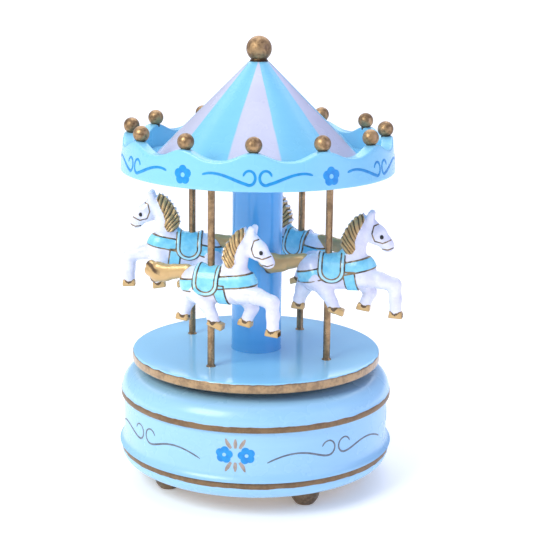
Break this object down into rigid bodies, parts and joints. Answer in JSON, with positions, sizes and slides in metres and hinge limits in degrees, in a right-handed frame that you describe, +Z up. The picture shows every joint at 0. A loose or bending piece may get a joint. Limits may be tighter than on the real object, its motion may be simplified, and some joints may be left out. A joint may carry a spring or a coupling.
{
  "type": "carousel music box",
  "caption": "Tabletop carousel music box: a round drum with a pinned-cylinder movement turns a platform of horses on poles under a scalloped, beaded canopy.",
  "frame": {"origin": "on the carousel's axis, in the plane that the feet stand on", "axes": "+Z up along the carousel's axis; the front of the object faces -Y, +X to its right as seen from the front"},
  "size_m": [0.1129, 0.1116, 0.1795],
  "materials": {
    "sky_paint": "gloss sky-blue lacquer over turned wood, with painted bronze bands and ornament",
    "column_paint": "gloss blue lacquer",
    "horse_paint": "satin white paint with turquoise tack and gold details",
    "bronze_paint": "satin bronze paint",
    "bronze_rod": "satin antique bronze",
    "plate_wood": "bare fibreboard",
    "steel": "satin",
    "brass": "satin",
    "zinc": "as cast",
    "nylon": "matt"
  },
  "bodies": {
    "base": {"base_drum": "sky_paint", "bottom_plate": "plate_wood", "plate_screws": "steel", "foot_front": "bronze_paint", "foot_right": "bronze_paint", "foot_back": "bronze_paint", "foot_left": "bronze_paint", "foot_screws": "steel", "shaft_bushing": "brass", "bedplate": "zinc", "bedplate_screws": "steel", "spring_arbor": "steel", "bracket_inner": "zinc", "bracket_outer": "zinc", "bracket_screws": "steel", "comb_block": "zinc", "comb": "steel", "comb_screws": "brass", "governor_frame": "zinc", "governor_screws": "steel"},
    "carousel": {"drive_shaft": "steel", "spring_barrel": "zinc", "barrel_cover": "zinc", "mainspring": "steel", "hub_collar": "brass", "turntable": "sky_paint", "column": "column_paint", "column_screws": "steel", "pole_front_left": "bronze_rod", "pole_front_right": "bronze_rod", "pole_back_right": "bronze_rod", "pole_back_left": "bronze_rod", "horse_front_left": "horse_paint", "horse_front_right": "horse_paint", "horse_back_right": "horse_paint", "horse_back_left": "horse_paint", "canopy_plate": "sky_paint", "canopy_screw": "steel", "canopy_skirt": "sky_paint", "canopy_cone": "sky_paint", "canopy_beads": "bronze_paint", "finial": "bronze_paint", "finial_peg": "steel"},
    "note_cylinder": {"cylinder_sleeve": "brass", "cylinder_pins": "steel", "cylinder_arbor": "steel", "drive_pinion": "brass", "great_wheel": "brass"},
    "governor": {"governor_arbor": "steel", "governor_pinion": "brass", "worm_wheel": "nylon"},
    "fan": {"worm_shaft": "steel", "air_brake": "nylon"}
  },
  "joints": [
    {"name": "carousel_spin", "type": "hinge", "parent": "base", "child": "carousel", "pos_m": [0, 0, 0.048], "axis": [0, 0, 1], "continuous": true},
    {"name": "cylinder_spin", "type": "hinge", "parent": "base", "child": "note_cylinder", "pos_m": [0.023, 0, 0.02611], "axis": [1, 0, 0], "continuous": true},
    {"name": "governor_spin", "type": "hinge", "parent": "base", "child": "governor", "pos_m": [0.034, -0.0091, 0.02611], "axis": [1, 0, 0], "continuous": true},
    {"name": "fan_spin", "type": "hinge", "parent": "base", "child": "fan", "pos_m": [0.0358, -0.01615, 0.02611], "axis": [0, 0, 1], "continuous": true}
  ],
  "couplings": [
    {"joint": "cylinder_spin", "follows": "carousel_spin", "ratio": 2.5714},
    {"joint": "governor_spin", "follows": "carousel_spin", "ratio": -6.6857},
    {"joint": "fan_spin", "follows": "carousel_spin", "ratio": -133.71}
  ]
}
